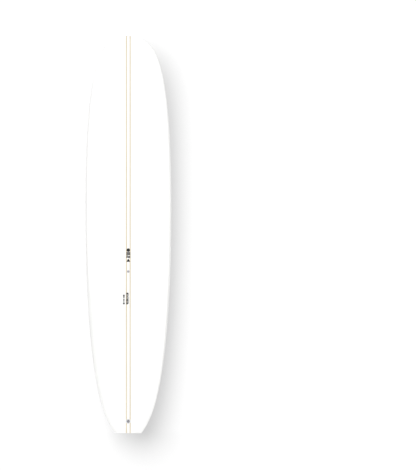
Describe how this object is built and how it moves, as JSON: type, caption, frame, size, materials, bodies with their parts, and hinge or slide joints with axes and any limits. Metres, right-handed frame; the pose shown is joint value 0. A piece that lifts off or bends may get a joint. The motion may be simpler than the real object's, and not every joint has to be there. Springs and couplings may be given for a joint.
{
  "type": "longboard surfboard",
  "caption": "White longboard surfboard with a broad round nose, square tail, wooden stringers, a long centre fin box and a leash plug.",
  "frame": {"origin": "middle of the board's box across and front to back, at the flat end of the tail", "axes": "+Z from the tail to the nose, -Y out of the deck, +Y out of the bottom, +X across, to the right when the deck is looked at nose up"},
  "size_m": [0.591, 0.1274, 2.743],
  "materials": {
    "foam": "matte",
    "stringer_wood": "sanded",
    "laminate": "polished",
    "bedding_resin": "polished",
    "fin_box": "sanded",
    "leash_plug": "satin",
    "leash_bar": "brushed",
    "vent": "satin",
    "seal": "matte",
    "membrane": "matte",
    "label": "polished",
    "print": "polished"
  },
  "bodies": {
    "root": {"foam_left": "foam", "foam_centre": "foam", "foam_right": "foam", "stringer_left": "stringer_wood", "stringer_right": "stringer_wood", "deck_laminate": "laminate", "bottom_laminate": "laminate", "fin_box": "fin_box", "fin_box_bedding": "bedding_resin", "leash_plug_cup": "leash_plug", "leash_plug_bar": "leash_bar", "leash_plug_bedding": "bedding_resin", "vent_housing": "vent", "vent_plug": "vent", "vent_o_ring": "seal", "vent_membrane": "membrane", "bottom_label": "label", "deck_print_name": "print", "deck_print_model": "print", "deck_print_size": "print"}
  },
  "joints": []
}
